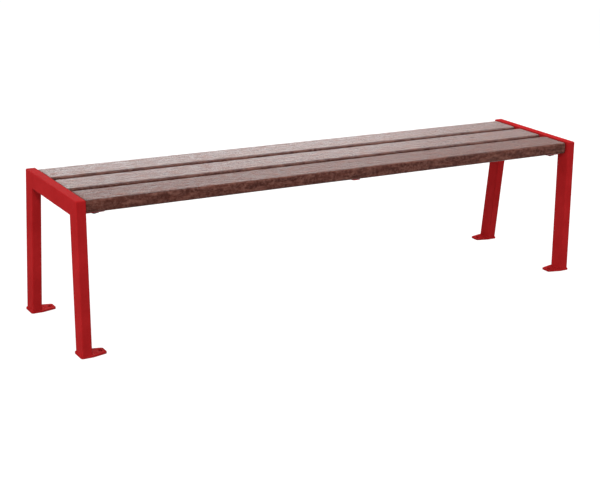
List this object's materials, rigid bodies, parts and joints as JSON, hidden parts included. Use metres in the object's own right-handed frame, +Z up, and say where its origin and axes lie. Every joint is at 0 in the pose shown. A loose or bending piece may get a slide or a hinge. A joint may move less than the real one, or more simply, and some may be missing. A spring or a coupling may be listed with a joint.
{
  "type": "backless bench",
  "caption": "Long backless street bench: flat slatted seat held between two inverted-U tube end frames with splayed legs and bolt-down foot plates.",
  "frame": {"origin": "on the floor, under the middle of the bench", "axes": "+X along the seat to the right-hand end frame, +Y to the rear, +Z up"},
  "size_m": [1.808, 0.4512, 0.45],
  "materials": {
    "red_powder_coat": "satin red powder coat over steel",
    "recycled_plastic": "matt dark brown, fine lengthwise grain with paler flecks",
    "black_zinc_steel": "black zinc plated"
  },
  "bodies": {
    "root": {"centre_strap": "red_powder_coat", "centre_strap_screws": "black_zinc_steel", "centre_strap_washers": "black_zinc_steel", "front_slat": "recycled_plastic", "left_bracket_welds": "red_powder_coat", "left_front_foot_plate": "red_powder_coat", "left_front_foot_welds": "red_powder_coat", "left_front_leg": "red_powder_coat", "left_rear_foot_plate": "red_powder_coat", "left_rear_foot_welds": "red_powder_coat", "left_rear_leg": "red_powder_coat", "left_slat_bracket": "red_powder_coat", "left_slat_screws": "black_zinc_steel", "left_slat_washers": "black_zinc_steel", "left_top_rail": "red_powder_coat", "middle_slat": "recycled_plastic", "rear_slat": "recycled_plastic", "right_bracket_welds": "red_powder_coat", "right_front_foot_plate": "red_powder_coat", "right_front_foot_welds": "red_powder_coat", "right_front_leg": "red_powder_coat", "right_rear_foot_plate": "red_powder_coat", "right_rear_foot_welds": "red_powder_coat", "right_rear_leg": "red_powder_coat", "right_slat_bracket": "red_powder_coat", "right_slat_screws": "black_zinc_steel", "right_slat_washers": "black_zinc_steel", "right_top_rail": "red_powder_coat"}
  },
  "joints": []
}
